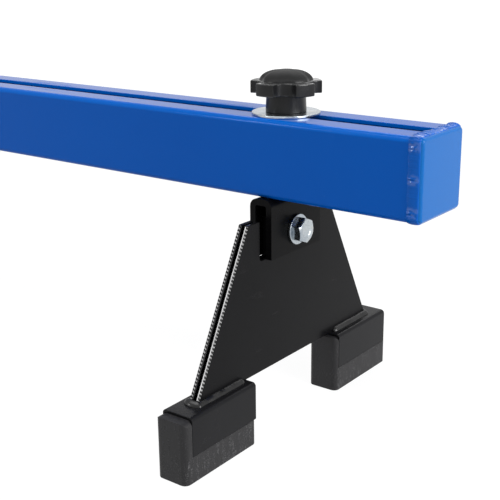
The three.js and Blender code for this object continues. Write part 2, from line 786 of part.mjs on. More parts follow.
// A round bar that is straight at the top and bent to a hook below. The hook opens towards positive Y.
function hookSpindle() {
  const hub_top = beam_top + saddle_sheet + thrust_washer_sheet + wing_hub_height;
  const top = hub_top + spindle_above_nut;
  const bend_height = beam_underside - hook_drop + hook_bend_radius;
  const tip_height = bend_height + hook_tip_rise;
  const radius = spindle_diameter / 2;
  const rings = [];
  const addRing = (y, z, tilt, ring_radius) => {
    const ring = [];
    for (let k = 0; k < spindle_facets; k += 1) {
      const angle = (2 * Math.PI * k) / spindle_facets;
      const across = ring_radius * Math.cos(angle);
      const out = ring_radius * Math.sin(angle);
      ring.push(new THREE.Vector3(across, y + out * Math.cos(tilt), z + out * Math.sin(tilt)));
    }
    rings.push(ring);
  };
  addRing(0, top, 0, radius - hex_chamfer);
  addRing(0, top - hex_chamfer, 0, radius);
  for (let k = 0; k <= hook_steps; k += 1) {
    const tilt = (Math.PI * k) / hook_steps;
    const y = hook_bend_radius * (1 - Math.cos(tilt));
    addRing(y, bend_height - hook_bend_radius * Math.sin(tilt), tilt, radius);
  }
  addRing(2 * hook_bend_radius, tip_height, Math.PI, radius);
  addRing(2 * hook_bend_radius, tip_height + hook_tip_chamfer, Math.PI, radius - hook_tip_chamfer);
  return loft(rings, false);
}

function hookPieces(prefix) {
  const name = (text) => `${prefix}_hook_${text}`;
  const bore = spindle_diameter + 2 * bolt_clearance;
  return [
    piece(name('saddle'), hookSaddle(), zinc()),
    piece(name('thrust_washer'),
      ringAlongZ(thrust_washer_diameter, bore, beam_top + saddle_sheet, thrust_washer_sheet), zinc()),
    piece(name('wing_nut'), wingNut(), zinc()),
    piece(name('spindle'), hookSpindle(), zinc()),
  ];
}

function placed(pieces, x, turn) {
  const group = new THREE.Group();
  group.add(...pieces);
  group.position.x = x;
  group.rotation.z = turn;
  return group;
}

const bar = new THREE.Group();
bar.add(...beamPieces());
bar.add(placed(legPieces('right'), leg_station, 0));
bar.add(placed(legPieces('left'), -leg_station, Math.PI));
bar.add(placed(hookPieces('right'), hook_spread / 2, 0));
bar.add(placed(hookPieces('left'), -hook_spread / 2, Math.PI));

export default bar;
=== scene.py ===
import json
import math

import bmesh
import bpy
import numpy as np
from mathutils import Matrix, Vector


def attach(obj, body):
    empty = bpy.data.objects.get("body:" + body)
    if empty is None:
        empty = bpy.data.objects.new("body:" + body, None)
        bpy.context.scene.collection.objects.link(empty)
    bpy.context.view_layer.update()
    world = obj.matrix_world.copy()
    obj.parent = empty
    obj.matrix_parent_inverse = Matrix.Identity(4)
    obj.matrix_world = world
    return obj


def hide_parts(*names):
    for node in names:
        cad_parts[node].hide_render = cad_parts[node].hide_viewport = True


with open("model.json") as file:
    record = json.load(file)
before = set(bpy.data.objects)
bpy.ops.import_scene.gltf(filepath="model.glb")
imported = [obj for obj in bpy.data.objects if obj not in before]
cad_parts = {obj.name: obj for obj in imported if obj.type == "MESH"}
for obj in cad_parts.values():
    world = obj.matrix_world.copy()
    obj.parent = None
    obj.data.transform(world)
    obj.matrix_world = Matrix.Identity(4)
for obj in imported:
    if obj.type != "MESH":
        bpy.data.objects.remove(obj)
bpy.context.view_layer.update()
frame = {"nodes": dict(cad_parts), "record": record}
sides = (("right", 1), ("left", -1))


# Camera and studio. The bar's right-hand end is seen from 37.5 degrees round and from a little
# above, as in the photograph. The floor and backdrop are plain and pale, and soft boxes at the
# right, above, behind and at the front left light the paint and give it its reflections.
camera_place = Vector((1.0527, -0.6131, 0.3737))
camera_yaw, camera_pitch, camera_roll = np.radians((37.5, 17.31, -0.59))
focal_pixels = 997.4
picture_pixels = 500
sensor_mm = 36.0


def camera_turn(yaw, pitch, roll):
    """The camera looks along +Y turned left by yaw and tipped down by pitch, and rolls about the
    line that it looks along."""
    level = Vector((-math.sin(yaw), math.cos(yaw), 0))
    forward = level * math.cos(pitch) - Vector((0, 0, math.sin(pitch)))
    upright = level * math.sin(pitch) + Vector((0, 0, math.cos(pitch)))
    level_right = Vector((math.cos(yaw), math.sin(yaw), 0))
    right = level_right * math.cos(roll) + upright * math.sin(roll)
    up = upright * math.cos(roll) - level_right * math.sin(roll)
    return Matrix((right, up, -forward)).transposed()


lens = bpy.data.cameras.new("camera")
lens.sensor_width = sensor_mm
lens.lens = focal_pixels / picture_pixels * sensor_mm
lens.clip_start = 0.05
lens.clip_end = 60
camera = bpy.data.objects.new("camera", lens)
turn = camera_turn(camera_yaw, camera_pitch, camera_roll)
camera.matrix_world = Matrix.Translation(camera_place) @ turn.to_4x4()
bpy.context.scene.collection.objects.link(camera)
bpy.context.scene.camera = camera
bpy.context.scene.view_settings.view_transform = "Standard"


def soft_box(name, place, target, width, height, watts):
    """A rectangular area light at place that faces target."""
    light = bpy.data.lights.new(name, "AREA")
    light.shape = "RECTANGLE"
    light.size = width
    light.size_y = height
    light.energy = watts
    lamp = bpy.data.objects.new(name, light)
    lamp.location = place
    lamp.rotation_euler = (Vector(target) - Vector(place)).to_track_quat("-Z", "Y").to_euler()
    bpy.context.scene.collection.objects.link(lamp)


soft_box("right_box", (2.9, 0.1, 1.0), (0.6, 0, 0.2), 1.5, 1.5, 62)
soft_box("overhead_box", (0.35, -1.0, 2.5), (0.3, 0, 0.2), 2.4, 1.2, 38)
soft_box("front_left_box", (-0.79, -1.80, 1.0), (0.618, -0.08, 0.11), 0.26, 0.65, 8.5)
soft_box("rear_box", (-0.3, 2.1, 2.3), (0.3, 0, 0.2), 2.6, 1.0, 26)


# The floor is white paper. Most of its white is light of its own, which only the camera and
# mirror-like surfaces see, and the rest is lit paper, which keeps the shadow. Away from the bar
# all of it is that plain white.
class Value:
    """A number, colour or vector that changes over a surface. Arithmetic signs add Math nodes."""

    def __init__(self, nodes, socket):
        self.nodes = nodes
        self.socket = socket

    def math(self, operation, *numbers):
        return self.nodes.node("ShaderNodeMath", {"operation": operation}, dict(enumerate(numbers)))

    def __add__(self, other):
        return self.math("ADD", self, other)

    def __sub__(self, other):
        return self.math("SUBTRACT", self, other)

    def __rsub__(self, other):
        return self.math("SUBTRACT", other, self)

    def __mul__(self, other):
        return self.math("MULTIPLY", self, other)

    __radd__ = __add__
    __rmul__ = __mul__

    def __abs__(self):
        return self.math("ABSOLUTE", self)

    def sine(self):
        return self.math("SINE", self)

    def ramp(self, low, high):
        """0 where the value is at most low, 1 where it is at least high, and a smooth step between."""
        settings = {"interpolation_type": "SMOOTHSTEP"}
        return self.nodes.node("ShaderNodeMapRange", settings, {0: self, 1: low, 2: high})


class Nodes:
    """A node tree under construction."""

    def __init__(self, tree):
        self.tree = tree

    def node(self, kind, settings, inputs, output=0):
        """Adds a node, sets its settings, then joins or sets its sockets, and gives back one output."""
        made = self.tree.nodes.new(kind)
        for words, value in settings.items():
            setattr(made, words, value)
        for socket, value in inputs.items():
            self.join(value, made.inputs[socket])
        return Value(self, made.outputs[output])

    def join(self, value, socket):
        """Links a Value to a socket, or sets the socket to a plain number or colour."""
        if isinstance(value, Value):
            self.tree.links.new(value.socket, socket)
        else:
            socket.default_value = value

    def seen(self):
        """1 for what the camera sees, directly, mirrored or through something, and 0 for other light."""
        share = self.node("ShaderNodeLightPath", {}, {}, "Is Camera Ray")
        for word in ("Is Glossy Ray", "Is Transmission Ray"):
            share = share.math("MAXIMUM", share, self.node("ShaderNodeLightPath", {}, {}, word))
        return share


class Finish(Nodes):
    """A material under construction. constants are set on the Principled shader's own sockets."""

    def __init__(self, name, **constants):
        self.material = bpy.data.materials.new(name)
        self.material.use_nodes = True
        super().__init__(self.material.node_tree)
        self.shader = self.tree.nodes["Principled BSDF"]
        for words, value in constants.items():
            self.shader.inputs[words.replace("_", " ")].default_value = value

    def noise(self, per_metre, detail=2.0, roughness=0.5, stretch=(1, 1, 1)):
        """A cloudy pattern from 0 to 1 that stays with the piece. A low number in stretch draws it out
        along that axis."""
        place = self.node("ShaderNodeTexCoord", {}, {}, "Object")
        place = self.node("ShaderNodeMapping", {}, {"Vector": place, "Scale": stretch})
        return self.node("ShaderNodeTexNoise", {}, {
            "Vector": place, "Scale": per_metre, "Detail": detail, "Roughness": roughness})

    def mix(self, share, first, second):
        """A colour that goes from first to second as share goes from 0 to 1."""
        return self.node("ShaderNodeMix", {"data_type": "RGBA"}, {0: share, 6: first, 7: second}, 2)

    def axis(self, name):
        """One coordinate of the surface, in metres."""
        place = self.node("ShaderNodeTexCoord", {}, {}, "Object")
        return self.node("ShaderNodeSeparateXYZ", {}, {0: place}, name)

    def bump(self, height, metres, strength):
        """Fine relief, in which a height of 1 stands for the given metres."""
        sockets = {"Height": height, "Distance": metres, "Strength": strength}
        self.join(self.node("ShaderNodeBump", {}, sockets), self.shader.inputs["Normal"])

    def done(self, **values):
        """Joins or sets the shader's sockets, and gives back the material."""
        for words, value in values.items():
            self.join(value, self.shader.inputs[words.replace("_", " ")])
        return self.material


floor_half = 7.0
near_share = 0.78
shadow_reach = (1.1, 2.2)
paper_glow = 1.18
white = (1, 1, 1, 1)
floor_mesh = bpy.data.meshes.new("floor")
floor_mesh.from_pydata([
    (-floor_half, -floor_half, 0), (floor_half, -floor_half, 0),
    (floor_half, floor_half, 0), (-floor_half, floor_half, 0)], [], [(0, 1, 2, 3)])
floor = bpy.data.objects.new("floor", floor_mesh)
bpy.context.scene.collection.objects.link(floor)
paper = Finish("white_paper", Roughness=0.9)
paper.done(Base_Color=paper.mix(paper.noise(3.0), (0.58, 0.58, 0.58, 1), (0.60, 0.60, 0.60, 1)))
lit = Value(paper, paper.shader.outputs[0])
glow = paper.node("ShaderNodeEmission", {}, {"Color": white, "Strength": paper_glow})
place = paper.node("ShaderNodeTexCoord", {}, {}, "Object")
distance = paper.node("ShaderNodeVectorMath", {"operation": "LENGTH"}, {0: place}, "Value")
glow_share = paper.seen() * (distance.ramp(*shadow_reach) * (1 - near_share) + near_share)
surface = paper.node("ShaderNodeMixShader", {}, {0: glow_share, 1: lit, 2: glow})
paper.join(surface, paper.tree.nodes["Material Output"].inputs["Surface"])
floor_mesh.materials.append(paper.material)

# The backdrop is white to the camera and to mirror-like surfaces, and dimmer as a light.
backdrop_as_light = 0.12
world = bpy.data.worlds.new("backdrop")
world.use_nodes = True
bpy.context.scene.world = world
sky = Nodes(world.node_tree)
backdrop = sky.tree.nodes["Background"]
backdrop.inputs["Color"].default_value = white
strength = sky.node("ShaderNodeMapRange", {}, {
    "Value": sky.seen(), "To Min": backdrop_as_light, "To Max": 1.0})
sky.join(strength, backdrop.inputs["Strength"])


# Beam: two cold-formed rails of 3 mm sheet and a square cap at each end, sprayed with gloss blue
# powder and stoved. The coat has a faint orange peel. A lighter blue is painted on the slot's cut
# edges as painted light and on the upper corners as a painted highlight, and the washers and saddles
# that slide on the lips rub them.
beam_half = 0.030
beam_middle = 0.2175
beam_top = 0.2475
# A lighter blue, painted on the slot's cut edges as light and on the upper corners as a highlight.
painted_light_blue = (0.0, 0.15, 0.68, 1)
rubbed_blue = (0.12, 0.26, 0.62, 1)
speck_blue = (0.25, 0.38, 0.66, 1)
# Distances from the middle plane at which the cut edge ends and the rubbed lip fades out.
cut_edge = (0.0081, 0.0084)
lip_rub = (0.0115, 0.0190)
# Heights at which the top face and the top of the weld beads start. The upper corners start where
# height and distance add up to corner_sum.
top_face = (0.2470, 0.2474)
bead_top = (0.2420, 0.2465)
corner_sum = (0.2728, 0.2744)
# The bead is glossier where a sine wave up it is high. The wave is 0 at pause_height, and
# pause_pace is in radians per metre.
pause_height = 0.2128
pause_pace = 275.6


def blue_coat(name, shade, clearer, ior, painted_edge_light=0.0, glints=0.0):
    """The fifth argument is how strongly the cut edges and upper corners get a lighter blue, as painted
    light and a painted highlight, and glints how glossy the pauses.
    """
    finish = Finish(name, IOR=ior)
    cloud = finish.noise(5.0, 3.0)
    streak = finish.noise(60.0, 3.0, 0.6, (0.05, 1, 1))
    peel = finish.noise(360.0, 1.0)
    speck = finish.noise(900.0, 2.0).ramp(0.70, 0.76)
    across = abs(finish.axis("Y"))
    height = finish.axis("Z")
    lip = (1 - across.ramp(*lip_rub)) * height.ramp(*top_face)
    rub = lip * finish.noise(140.0, 4.0, 0.6, (0.12, 1, 1)).ramp(0.48, 0.66)
    deep = finish.mix(cloud, shade, clearer)
    # Painted light: the slot's cut edges get a lighter blue, and the upper corners a painted highlight.
    if painted_edge_light:
        corner = (across + height).ramp(*corner_sum)
        edge_light_mask = 1 - across.ramp(*cut_edge) + corner * 0.8
        deep = finish.mix(edge_light_mask * painted_edge_light, deep, painted_light_blue)
    dusty = finish.mix(rub * 0.4, deep, rubbed_blue)
    colour = finish.mix(speck * 0.1, dusty, speck_blue)
    finish.bump(peel + streak * 0.4, 0.00002, 0.5)
    values = {"Base_Color": colour, "Roughness": streak * 0.08 + rub * 0.3 + 0.12}
    if glints:
        patch = finish.noise(300.0, 1.0)
        pause = ((height - pause_height) * pause_pace).sine().ramp(0.3, 0.8)
        top = patch.ramp(0.60, 0.66) * height.ramp(*bead_top)
        values["Coat_Weight"] = (top + patch.ramp(0.44, 0.54) * pause) * glints
    return finish.done(**values)


def linked(name, mesh, material, body):
    """Puts a mesh into the scene, with a smooth surface and its finish."""
    mesh.polygons.foreach_set("use_smooth", np.ones(len(mesh.polygons), bool))
    mesh.materials.append(material)
    piece = bpy.data.objects.new(name, mesh)
    bpy.context.scene.collection.objects.link(piece)
    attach(piece, body)
    return piece


def flattened(piece):
    """Keeps the shading of big faces flat, so that only the small ones beside them turn the light."""
    weights = piece.modifiers.new("flat_faces", "WEIGHTED_NORMAL")
    weights.weight = 100
    weights.keep_sharp = True


bodies = frame["record"]["behaviour"]["bodies"]
body_of = {node: body for body, nodes in bodies.items() for node in nodes}
joined_within = math.radians(0.6)
sharp_from = math.radians(35)


def eased(node, material, edge):
    """Stands for a CAD node with the same shape. Corners that triangles share are merged, flat faces
    are joined, and sharp edges get a small radius."""
    source = frame["nodes"][node].data
    corners = np.empty(len(source.vertices) * 3)
    source.vertices.foreach_get("co", corners)
    order = np.empty(len(source.loops), int)
    source.loops.foreach_get("vertex_index", order)
    points, index = np.unique(np.round(corners.reshape(-1, 3), 7), axis=0, return_inverse=True)
    faces = index.reshape(-1)[order].reshape(-1, 3)
    a, b, c = faces.T
    faces = faces[(a != b) & (b != c) & (a != c)]
    mesh = bpy.data.meshes.new(node + "_finished")
    mesh.from_pydata(points, [], faces.tolist())
    shape = bmesh.new()
    shape.from_mesh(mesh)
    bmesh.ops.dissolve_limit(shape, angle_limit=joined_within, verts=shape.verts, edges=shape.edges)
    shape.to_mesh(mesh)
    shape.free()
    piece = linked(node + "_finished", mesh, material, body_of[node])
    bevel = piece.modifiers.new("eased_edges", "BEVEL")
    bevel.width = edge
    bevel.segments = 3
    bevel.limit_method = "ANGLE"
    bevel.angle_limit = sharp_from
    flattened(piece)
    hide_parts(node)


blue = blue_coat("blue_powder_coat", (0.0, 0.088, 0.45, 1), (0.0, 0.106, 0.52, 1), 1.17, painted_edge_light=0.8)
# The caps' coat is a greener, lighter copy of the rails' coat: painted light, for the end faces that
# face the lamp at the right.
lit_cap_blue = blue_coat("blue_cap_coat_painted_light", (0.0, 0.114, 0.41, 1), (0.0, 0.130, 0.46, 1), 1.27)
for node in ("front_rail", "rear_rail"):
    eased(node, blue, edge=0.0005)
for side_name, sign in sides:
    eased(side_name + "_end_cap", lit_cap_blue, edge=0.0029)


# Weld beads round the end caps: one run of wire round the square, laid before the beam was
# painted and dressed with a grinder. Lumps show through the blue, and short ripples where the
# welder paused, where the paint is glossier.
def skin(name, *grids):
    """One mesh through grids of points [row, column]. Columns close on themselves. Rows close too
    when the first row is repeated at the end, and otherwise the end rows are filled."""
    points = []
    faces = []
    for grid in grids:
        rows, columns, _ = grid.shape
        start = len(points)
        first = np.arange(rows - 1)[:, None] * columns + start
        here = first + np.arange(columns)
        beside = first + (np.arange(columns) + 1) % columns
        faces += np.stack([here, beside, beside + columns, here + columns], -1).reshape(-1, 4).tolist()
        if not np.allclose(grid[0], grid[-1]):
            faces.append(list(range(start, start + columns))[::-1])
            faces.append(list(range(start + (rows - 1) * columns, start + rows * columns)))
        points += grid.reshape(-1, 3).tolist()
    mesh = bpy.data.meshes.new(name)
    mesh.from_pydata(points, [], faces)
    shape = bmesh.new()
    shape.from_mesh(mesh)
    bmesh.ops.remove_doubles(shape, verts=shape.verts, dist=2e-7)
    bmesh.ops.dissolve_degenerate(shape, dist=1e-7, edges=shape.edges)
    bmesh.ops.recalc_face_normals(shape, faces=shape.faces)
    shape.to_mesh(mesh)
    shape.free()
    return mesh


def wander(along, seed, waviness):
    """A smooth curve of size about 1 along a run: the sum of five sine waves whose paces and phases
    are drawn from the seed."""
    draws = np.random.default_rng(seed)
    waves = 0
    for _ in range(5):
        pace = waviness * (0.6 + draws.random() * 1.8)
        waves = waves + np.sin(along * pace + draws.random() * 6.283)
    return waves / math.sqrt(5)


corner_round = 0.004
bead_outer = 0.7481
bead_width = 0.0090
bead_height = 0.0011
bead_limits = (0.0004, 0.0022)
bead_root = 0.001
bead_seeds = {"right": 11, "left": 29}
lump_fade = 0.004
high_corner = 0.0275
ripple_pitch = 0.0030
pauses = (0.003, 0.027, 0.049)
pause_reach = 0.0024
bead_stations = 1200
bead_points = 28


def end_bead(side_name, sign):
    """Follows a rounded square in (Y, Z). The bead's section is a low arch, from the rails to the rim of
    the cap, whose height and width wander. It is lumpier on top, where it fills the end of the slot,
    and highest at one corner."""
    flat = 2 * (beam_half - corner_round)
    arc = math.pi / 2 * corner_round
    whole = 4 * (flat + arc)
    length = np.linspace(0, whole, bead_stations)
    shifted = (length + flat / 2) % whole
    side = np.floor(shifted / (flat + arc))
    rest = shifted - side * (flat + arc)
    bend = np.clip(rest - flat, 0, None) / corner_round
    quarter = side * math.pi / 2
    y0 = np.clip(rest, 0, flat) - flat / 2 + np.sin(bend) * corner_round
    z0 = flat / 2 + np.cos(bend) * corner_round
    y = y0 * np.cos(quarter) + z0 * np.sin(quarter)
    z = z0 * np.cos(quarter) - y0 * np.sin(quarter)
    out_y = np.sin(bend + quarter)
    out_z = np.cos(bend + quarter)
    loop = 2 * math.pi / whole
    seed = bead_seeds[side_name]
    upper = np.clip(out_z, 0, 1) ** 0.5
    corner = np.exp(-((y - high_corner) / 0.005) ** 2) * upper
    middle = np.exp(-(y / 0.009) ** 2) * upper
    lumps = wander(length * loop, seed, 22) * 0.5 + wander(length * loop, seed + 1, 60) * 0.25
    lumps *= np.clip(np.minimum(length, whole - length) / lump_fade, 0, 1)
    height = bead_height + 0.0001 * lumps + upper * (0.0002 + 0.0006 * lumps)
    height = np.clip(height + corner * 0.0007 - middle * 0.0004, *bead_limits)
    width = bead_width + (0.0003 + 0.0009 * upper) * lumps
    t = np.linspace(0, math.pi, bead_points)
    arch = np.sin(t) ** 0.8
    along = (1 - np.cos(t)) / 2
    crescent = np.cos(2 * math.pi * length[:, None] / ripple_pitch + 6 * (along - 0.5) ** 2)
    patch = sum(np.exp(-((rest - pause) / pause_reach) ** 2) for pause in pauses)[:, None] * along
    reach = height[:, None] * arch * (1 + 0.34 * patch * crescent) - 0.0002
    x = bead_outer - width[:, None] * along
    top = np.stack([x, y[:, None] + out_y[:, None] * reach, z[:, None] + out_z[:, None] * reach], -1)
    back = x[:, -2:0:-1]
    root_y = (y - out_y * bead_root)[:, None] + back * 0
    root_z = (z - out_z * bead_root)[:, None] + back * 0
    ring = np.concatenate([top, np.stack([back, root_y, root_z], -1)], 1)
    ring[-1] = ring[0]
    ring[:, :, :2] *= sign
    ring[:, :, 2] += beam_middle
    mesh = skin(side_name + "_end_bead", ring)
    piece = linked(side_name + "_end_bead", mesh, bead_blue, "beam")
    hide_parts(side_name + "_end_weld")


bead_blue = blue_coat("blue_bead_coat", (0.0, 0.092, 0.45, 1), (0.0, 0.108, 0.51, 1), 1.21, glints=0.9)
for side_name, sign in sides:
    end_bead(side_name, sign)


# Leg: laser-cut plates, a bent bracket and bent foot channels, all sprayed with black satin
# powder. The coat is fine-grained. It is glossier on the plates' slanted cut edges. A cut is smooth
# on one side, and the laser's drag lines show on the rest of its thickness as short dashes.
leg_station = 0.618
plate_middle = 0.003
# Where a change starts and ends: slanted_edge is a distance from the leg's middle plane, plate_rim
# and drag_start are places across one plate's sheet, and outer_plate across the pair of plates.
# The drag lines repeat every 2.4 mm up the edge, and lean by drag_lean radians per metre across it.
slanted_edge = (0.046, 0.050)
plate_rim = (0.0013, 0.0015)
drag_start = (-0.0006, -0.0003)
outer_plate = (-0.0002, 0.0002)
drag_pace = 2 * math.pi / 0.0024
drag_lean = 900.0


def black_coat(name, dark, smooth, ior, cut=False):
    """dark is the coat's grey, smooth its least roughness, and cut says that it has cut edges."""
    finish = Finish(name, IOR=ior)
    cloud = finish.noise(22.0, 4.0, 0.6)
    grain = finish.noise(1500.0, 2.0)
    dust = finish.noise(2400.0, 2.0).ramp(0.68, 0.78)
    scuff = finish.noise(90.0, 5.0, 0.65, (1, 0.3, 1)).ramp(0.62, 0.74)
    colour = finish.mix(cloud, (dark, dark, dark * 1.14, 1), (dark * 1.6, dark * 1.6, dark * 1.8, 1))
    colour = finish.mix(dust * 0.08 + scuff * 0.05, colour, (0.12, 0.12, 0.12, 1))
    values = {"Base_Color": colour, "Roughness": cloud * 0.14 + scuff * 0.08 + smooth}
    relief = grain * 0.25
    if cut:
        side = abs(finish.axis("X")) - leg_station
        place = abs(side) - plate_middle
        edge = (1 - abs(place).ramp(*plate_rim)) * abs(finish.axis("Y")).ramp(*slanted_edge)
        striated = place.ramp(*drag_start)
        skew = finish.noise(500.0, 2.0, 0.5, (1, 1, 0.2))
        drag = (finish.axis("Z") * drag_pace + side * drag_lean + skew * 2.5).sine()
        patchy = finish.noise(120.0, 3.0, 0.6).ramp(0.3, 0.7) * 0.3 + 0.7
        smooth_half = (1 - striated) * side.ramp(*outer_plate)
        gloss = edge * (smooth_half + striated * drag.ramp(0.0, 0.6) * 0.6)
        relief = relief + edge * striated * drag * 0.8
        values["Coat_Weight"] = gloss * patchy
    finish.bump(relief, 0.00006, 0.6)
    return finish.done(**values)


# The bracket's black is darker than that of the other sheet parts: painted shade, for its end faces in
# shadow under the beam.
shaded_bracket_black = black_coat("black_bracket_coat_painted_shade", 0.0020, 0.20, 1.14)
black = black_coat("black_powder_coat", 0.0075, 0.18, 1.19)
cut_black = black_coat("black_cut_sheet", 0.0034, 0.17, 1.16, cut=True)
sheet_parts = {
    "clevis_bracket": shaded_bracket_black, "outer_leg_plate": cut_black, "inner_leg_plate": cut_black,
    "front_foot_channel": black, "rear_foot_channel": black,
}
for side_name, sign in sides:
    for part, coat in sheet_parts.items():
        eased(side_name + "_" + part, coat, edge=0.0004)


# Fillet welds that hold the plates on the foot channels. The run goes along one side, round the
# end of the plates and back along the other, and is glossier than the sheet round it.
glossy_black = black_coat("black_weld_coat", 0.002, 0.19, 1.40)
pack_half = 0.0045
channel_top = 0.051
fillet_leg = 0.0034
fillet_start = 0.063
fillet_ripple = 0.0029
fillet_root = 0.0008
fillet_stations = 460
fillet_points = 16
plate_end = 0.116


def foot_bead(node, sign, toward):
    """The run is two straight lines joined by a half circle. Across it the bead falls from the plate
    to the channel in a curve that is hollow at the toes, and crescent ripples run along it."""
    straight = plate_end - fillet_start
    turn = math.pi * pack_half
    whole = 2 * straight + turn
    length = np.linspace(0, whole, fillet_stations)
    bend = np.clip(length - straight, 0, turn) / pack_half
    x = pack_half * np.cos(bend)
    out_x = np.cos(bend)
    out_y = np.sin(bend)
    y = fillet_start + np.clip(length, 0, straight) - np.clip(length - straight - turn, 0, straight)
    y = y + out_y * 0.0006
    seed = sum(map(ord, node))
    fade = np.clip(np.minimum(length, whole - length) / 0.003, 0, 1) ** 0.5
    leg = fillet_leg * (1 + 0.05 * wander(length, seed, 200)) * (0.35 + 0.65 * fade)
    leg = leg * (1 + 0.15 * out_y)
    t = np.linspace(0, math.pi / 2, fillet_points)
    crescent = np.cos(2 * math.pi * length[:, None] / fillet_ripple + 1.8 * np.cos(2 * t))
    lumps = wander(length, seed + 1, 260)[:, None] * 0.03
    swell = leg[:, None] * (1 + (0.004 * crescent + lumps) * np.sin(2 * t))
    away = swell * np.cos(t) ** 1.35
    rise = swell * np.sin(t) ** 1.35
    face = np.stack([
        x[:, None] + out_x[:, None] * away, y[:, None] + out_y[:, None] * away, channel_top + rise], -1)
    root_z = np.full_like(x, channel_top - fillet_root)
    root = np.stack([x - out_x * fillet_root, y - out_y * fillet_root, root_z], -1)
    ring = np.concatenate([face, root[:, None, :]], 1)
    ring[:, :, 0] = sign * (leg_station + ring[:, :, 0])
    ring[:, :, 1] = sign * toward * ring[:, :, 1]
    name = node + "_bead"
    piece = linked(name, skin(name, ring), glossy_black, body_of[node])
    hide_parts(node)


for side_name, sign in sides:
    foot_bead(side_name + "_front_foot_weld", sign, -1)
    foot_bead(side_name + "_rear_foot_weld", sign, 1)


# Foot pads: blocks of moulded black rubber, pressed into the foot channels. They are dull, and
# scuffed grey low on their sides, where they have been pushed over a floor.
scuff_heights = (0.012, 0.034)
pad_flank = (0.0118, 0.0136)


def pad_rubber():
    """Dark rubber with fine crumbs. Chalk lies where two noises are high, mostly low on the flanks."""
    finish = Finish("pad_rubber", IOR=1.35)
    cloud = finish.noise(45.0, 4.0, 0.6)
    crumb = finish.noise(900.0, 3.0, 0.7)
    low = 1 - finish.axis("Z").ramp(*scuff_heights)
    flank = abs(abs(finish.axis("X")) - leg_station).ramp(*pad_flank)
    graze = finish.noise(260.0, 5.0, 0.75, (1, 1.4, 0.25)).ramp(0.49, 0.60)
    chalk = crumb.ramp(0.45, 0.66) * (graze * (flank * low * 0.9 + 0.35) + low * 0.15)
    colour = finish.mix(cloud, (0.0085, 0.0082, 0.0092, 1), (0.0160, 0.0156, 0.0170, 1))
    colour = finish.mix(chalk * 0.42, colour, (0.18, 0.18, 0.185, 1))
    finish.bump(crumb + graze * 0.7, 0.00012, 0.5)
    return finish.done(Base_Color=colour, Roughness=cloud * 0.15 + graze * 0.12 + 0.45)


rubber = pad_rubber()
for side_name, sign in sides:
    for end in ("front", "rear"):
        eased(f"{side_name}_{end}_foot_pad", rubber, edge=0.0013)


# Star knobs: glass-filled nylon with a fine moulded grain, faint ribs on the hub and edges that
# hands have polished, screwed down on the clamp bolt. Each is one moulding with five lobes and a
# domed middle.
washer_top = beam_top + 0.002
knob_bottom = washer_top
knob_hub = 0.0155
knob_hub_draft = 0.0005
hub_edge = 0.0005
hub_fillet = 0.0008
lobe_bottom = knob_bottom + 0.0135
lobe_top = lobe_bottom + 0.0095
lobe_radius = 0.027
scoop_radius = 0.0085
scoop_place = 0.02775
dome_rim = 0.0205
dome_height = 0.008
lobe_count = 5
edge_round = 0.0008
corner_length = 0.0008
hollow_reach = math.radians(24)
knob_turn = math.radians(-21)
# Heights at which the hub's ribs stop and the dull dome, darkened with painted shade, starts, and those
# of the polished edges.
rib_end = (0.2625, 0.2632)
dome_start = (0.2730, 0.2760)
upper_edge = 0.2722
lower_edge = 0.2634
polish_reach = (0.0003, 0.0007)


def knob_plastic():
    """Fine grain all over, upright ribs on the hub, a duller dome whose colour is darkened as painted
    shade, and a gloss in two bands, at the upper and the lower edge of the lobes."""
    finish = Finish("knob_plastic", IOR=1.30)
    grain = finish.noise(1900.0, 2.0, 0.6)
    cloud = finish.noise(70.0, 3.0)
    height = finish.axis("Z")
    ribs = finish.noise(700.0, 1.0, 0.5, (1, 1, 0.02)) * (1 - height.ramp(*rib_end))
    dull_shaded_dome = height.ramp(*dome_start)
    colour = finish.mix(cloud, (0.0066, 0.0068, 0.0072, 1), (0.0130, 0.0132, 0.0138, 1))
    # Painted shade: the dome's colour is darkened towards black.
    colour = finish.mix(dull_shaded_dome * 0.5, colour, (0.0015, 0.0015, 0.0017, 1))
    upper = 1 - abs(height - upper_edge).ramp(*polish_reach)
    lower = 1 - abs(height - lower_edge).ramp(*polish_reach)
    finish.bump(grain * 0.4 + ribs, 0.00008, 0.5)
    return finish.done(
        Base_Color=colour, Roughness=cloud * 0.14 + grain * 0.10 + dull_shaded_dome * 0.36 + 0.20,
        Coat_Weight=(upper + lower) * cloud.ramp(0.3, 0.6) * 0.8)


def corner_angle(left, right, opposite):
    """The angle between two sides of a triangle, from the lengths of its three sides."""
    return math.acos((left * left + right * right - opposite * opposite) / (2 * left * right))


